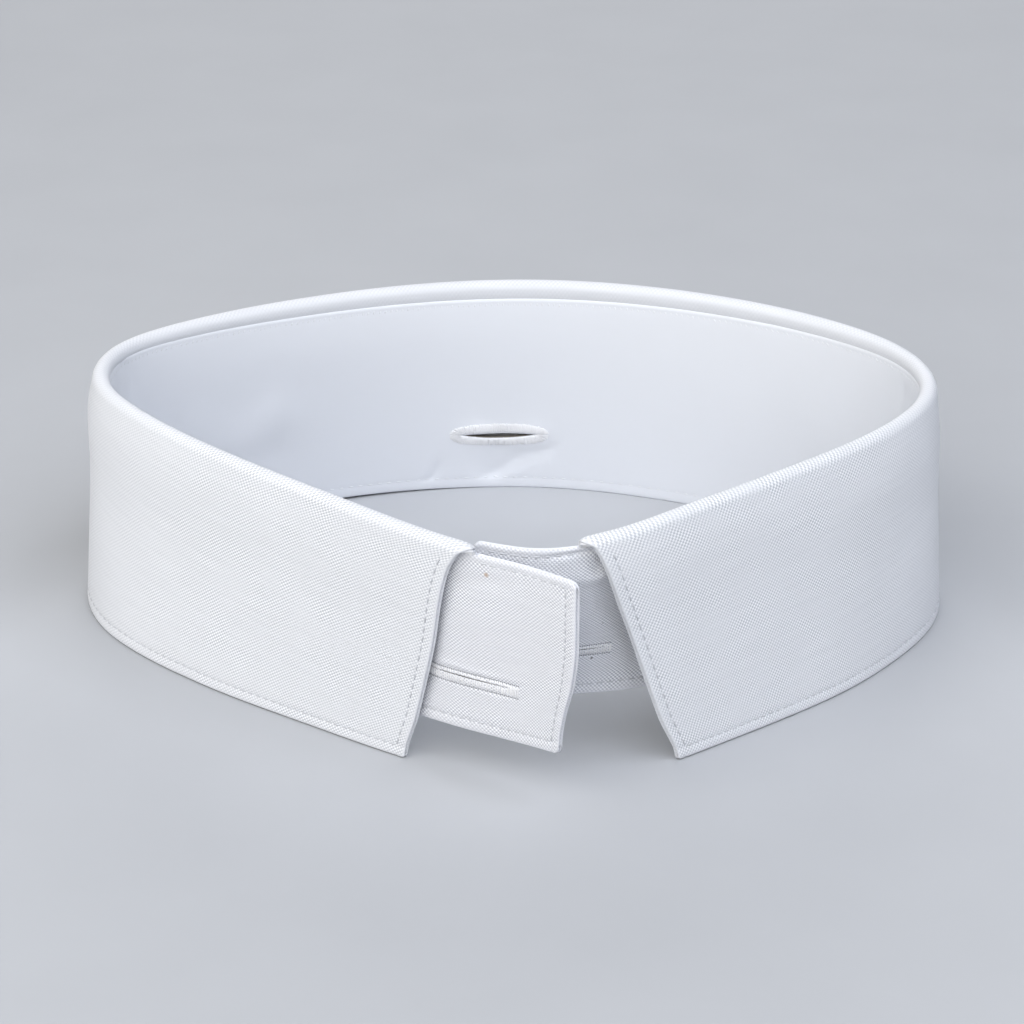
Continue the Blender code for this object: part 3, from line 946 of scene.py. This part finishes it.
def oval_outline(count, half_wide, half_tall):
    """Points at even distances round an oval, as shares of its half width and half height."""
    turns = np.linspace(-math.pi, math.pi, OVAL_POINTS)
    wide, tall = [np.sign(wave) * np.abs(wave) ** OVAL_FULL for wave in (np.cos(turns), np.sin(turns))]
    steps = np.hypot(np.diff(wide) * half_wide, np.diff(tall) * half_tall)
    run = np.concatenate([[0], np.cumsum(steps)])
    at = np.linspace(0, run[-1], count, endpoint=False)
    return np.interp(at, run, wide), np.interp(at, run, tall)


def satin_threads(hole, side, rng):
    """Threads worked over a slit's lips, each from the lip out to where it goes into the cloth."""
    half, above, below, lip = hole["length"] / 2, hole["above"], hole["below"], hole["lip"]
    whole = half + hole["beyond"]
    top, foot = hole["up"] + above, hole["up"] - below
    if hole["oval"]:
        wide, tall = oval_outline(round(4 * (whole + above) / hole["pitch"]), whole, above)
        share = np.clip(wide * whole / (half + OVAL_GATHER), -1, 1)
        lips = slit_lips(hole, share)
        start = np.stack([hole["along"] + share * half, np.where(tall > 0, lips[0] + lip, lips[1] - lip)])
        end = np.stack([hole["along"] + wide * whole, hole["up"] + tall * np.where(tall > 0, above, below)])
    else:
        steps = np.arange(-half, half, hole["pitch"]) + hole["pitch"] / 2
        bars = np.arange(half + BAR_FROM, whole, hole["pitch"] * BAR_CLOSER)
        bars = np.concatenate([bars, -bars])
        along = np.concatenate([steps, steps, bars]) + hole["along"]
        lips = slit_lips(hole, steps / half)
        start = np.stack([along, np.concatenate([lips[0] + lip, lips[1] - lip, np.full(len(bars), top)])])
        end = np.stack([along, np.repeat([top, foot], [len(steps), len(steps) + len(bars)])])
    total = start.shape[1]
    stray = rng.normal(0, hole["pitch"] * THREAD_STRAY, (2, total))
    start, end = start + stray, end + stray + rng.normal(0, END_STRAY, (2, total))
    steps = np.linspace(0, 1, len(SATIN_ARCH))
    along, up = start[:, :, None] + (end - start)[:, :, None] * steps
    arch = np.array(SATIN_ARCH) * hole["thread"] / SATIN_RADIUS
    lift = side * (HALF + arch)[None] + np.zeros((total, 1))
    return band_cloth(along, up, lift), cloth_up(band_cloth, along, up, side)


def sew(cotton, satin, neck):
    """All the sewing: the edge stitches, the close stitches under the fold, and the buttonholes."""
    rng = np.random.default_rng(7)
    low, high, far = EDGE_ROW, LEAF_LEG - ROW_BELOW_FOLD, LEAF_LONG - EDGE_ROW
    leaf_line = [(low, high), (low, low), (far, low), (far, high)]
    on_leaf = [row_of_stitches(leaf_cloth, leaf_line, side, rng) for side in (1, -1)]
    leaf_sewing = threads("leaf_edge_stitches", *join_rows(on_leaf), THREAD, cotton)

    top = BAND_TALL - TAB_STITCH_IN
    left_in, right_in = LEAF_START - ROW_SHORT, LEAF_START + LEAF_LONG + ROW_SHORT
    far = BAND_LONG - low
    band_line = [(left_in, top), (low, top), (low, low), (far, low), (far, top), (right_in, top)]
    on_outside = row_of_stitches(band_cloth, band_line, 1, rng)
    band_sewing = threads("band_edge_stitches", *on_outside, THREAD, cotton)
    on_neck = row_of_stitches(band_cloth, band_line, -1, rng, sunk=NECK_SUNK)
    neck_sewing = threads("band_neck_stitches", *on_neck, THREAD, neck)

    count = int((right_in - left_in) / SEAM_PITCH)
    steps = np.linspace(0, 1, len(SEAM_ARCH))
    at = left_in + (np.arange(count) + 0.5) * (right_in - left_in) / count
    slant = SEAM_SLANT * np.clip((BAND_LONG / 2 - at) / SEAM_EASES, -1, 1)[:, None]
    stray = [rng.normal(0, spread, (count, 1)) for spread in SEAM_STRAY]
    along = at[:, None] + slant * (steps - 0.5) + stray[0]
    up = BAND_TALL - SEAM_BELOW + SEAM_TALL * (steps[None] - 0.5) + stray[1]
    lift = -(HALF * STITCH_BED + np.array(SEAM_ARCH)[None] + stray[2])
    in_seam = band_cloth(along, up, lift), cloth_up(band_cloth, along, up, -1)
    seam_sewing = threads("seam_stitches", *in_seam, SEAM_THREAD, neck)

    worked = []
    for name, hole in table_rows(BUTTONHOLES):
        both = [satin_threads(hole, side, rng) for side in (1, -1)]
        worked.append(threads(f"buttonhole_{name}", *join_rows(both), hole["thread"], satin))
    on_band = [band_sewing, neck_sewing, seam_sewing] + worked
    return [leaf_sewing], on_band


# ---- the setting

CAMERA_RISE = 26.0  # degrees
CAMERA_AWAY = 577.8
CAMERA_AIM = 23.33  # height of the point that it is turned to
CAMERA_NEAR = 10.0
SENSOR = 36.0
FOCAL = 108.2


def set_camera():
    aim = Vector((-BOX_MIDDLE[0], -BOX_MIDDLE[1], CAMERA_AIM)) * MM
    rise = math.radians(CAMERA_RISE)
    lens = bpy.data.cameras.new("camera")
    lens.sensor_width = SENSOR
    lens.lens = FOCAL
    lens.clip_start = CAMERA_NEAR * MM
    camera = into_scene("camera", lens)
    camera.location = aim + Vector((0, -math.cos(rise), math.sin(rise))) * CAMERA_AWAY * MM
    camera.rotation_euler = (aim - camera.location).to_track_quat("-Z", "Y").to_euler()
    bpy.context.scene.camera = camera


# Soft boxes. round is the angle from the front towards the wearer's left, and rise the angle up, in degrees.
LIGHTS = """
light       round rise away wide watts  colour
left_front    -35   25 1400 1700  19.4 #FFFDF8
left_high     -70   55 1400  900   5.2 #FFFFFF
right_front    35   55 1400 1300  14.6 #F3F7FF
right_high     70   55 1400  900   3.6 #EEF4FF
back          180   25 1400  900   7.8 #FFFFFF
"""
ROOM_COLOUR = "#E4E8EE"
ROOM_LIGHT = 0.04


def set_lights():
    for name, box in table_rows(LIGHTS):
        light = bpy.data.lights.new(name, "AREA")
        light.shape = "SQUARE"
        light.size = box["wide"] * MM
        light.energy = box["watts"]
        light.color = linear(box["colour"])[:3]
        lamp = into_scene(name, light)
        turn, rise = math.radians(box["round"]), math.radians(box["rise"])
        aim = Vector((math.sin(turn) * math.cos(rise), -math.cos(turn) * math.cos(rise), math.sin(rise)))
        lamp.location = aim * box["away"] * MM
        lamp.rotation_euler = aim.to_track_quat("Z", "Y").to_euler()
    world = bpy.data.worlds.new("studio")
    world.use_nodes = True
    room = world.node_tree.nodes["Background"]
    room.inputs["Color"].default_value = linear(ROOM_COLOUR)
    room.inputs["Strength"].default_value = ROOM_LIGHT
    bpy.context.scene.world = world
    bpy.context.scene.view_settings.view_transform = "Standard"


MOTTLE_WIDE = 33.0
FLOOR_REACH = 4000.0


def set_floor():
    """A pale painted board, matt, a little mottled."""
    material, shader, add = new_material("pale_board")
    here = add("TexCoord", {}).outputs["Object"]
    mottle = add("TexNoise", {"Scale": 1 / (MOTTLE_WIDE * MM), "Detail": 4.0, "Vector": here})
    paints = {"data_type": "RGBA", 6: linear("#B2B4B8"), 7: linear("#B8BABE")}
    paint = add("Mix", {**paints, 0: mottle}).outputs[2]
    fit(shader, {"Roughness": 0.9, "Specular IOR Level": 0.2, "Base Color": paint})
    wide = FLOOR_REACH * MM
    corners = [(-wide, -wide, 0), (wide, -wide, 0), (wide, wide, 0), (-wide, wide, 0)]
    floor = new_solid("floor", corners, [(0, 1, 2, 3)], [material])


# Marks on the band's outer face.
SPECKS = """
mark        along   up radius  colour
brown        18.3 36.7   0.42 #B39B86
black       411.1  9.5   0.24 #2B2725
small_black 409.6 19.3   0.11 #4A4440
"""


def band_specks():
    marks = []
    for _, mark in table_rows(SPECKS):
        spot = band_cloth(np.array(mark["along"]), np.array(mark["up"]), np.array(HALF))
        marks.append((tuple(float(c) for c in spot), mark["radius"] * MM, mark["colour"]))
    return marks


def main():
    set_camera()
    set_lights()
    set_floor()
    outside = poplin("white_poplin_leaf", "#F6F7FA", "#BBBEC5", weave=0.94, relief=0.44, slant=-0.12)
    # A lighter copy of the leaf's cloth for its under ply: painted light where that ply faces away from the lamps.
    under = poplin("white_poplin_under_painted_light", "#F8F8F8", "#E9E9EA", weave=0.5, relief=0.15)
    # holes paints shade in the needle holes as dark dots.
    marked = {"specks": band_specks(), "holes": True}
    tab = poplin("white_poplin_band", "#FBFCFF", "#B0B2BC", weave=0.92, relief=0.56, slant=0.1, **marked)
    neck = poplin("white_poplin_neck", "#E5E7EC", "#DFE2E8", weave=0.15, relief=0.02)
    # Grey, not white: the edge stitches' thread is darkened as painted shade for the shadows of its sunk dashes.
    cotton = sewing_cotton("grey_sewing_cotton_painted_shade", "#CACCD1", roughness=0.62)
    satin = sewing_cotton("white_buttonhole_cotton", "#F2F2F4", roughness=0.65)
    worn = sewing_cotton("white_seam_cotton", "#E9EBEF", roughness=0.7)
    # The slits' cut faces: the interlining's raw edge, darkened as painted shade inside the slits.
    raw_edge_shade = sewing_cotton("raw_interlining_painted_shade", "#918B83", roughness=0.85)
    leaf = make_leaf([outside, under])
    band = make_band([tab, neck])
    cut_slits(band, raw_edge_shade)
    on_leaf, on_band = sew(cotton, satin, worn)
    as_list(on_leaf)
    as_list(on_band)


main()
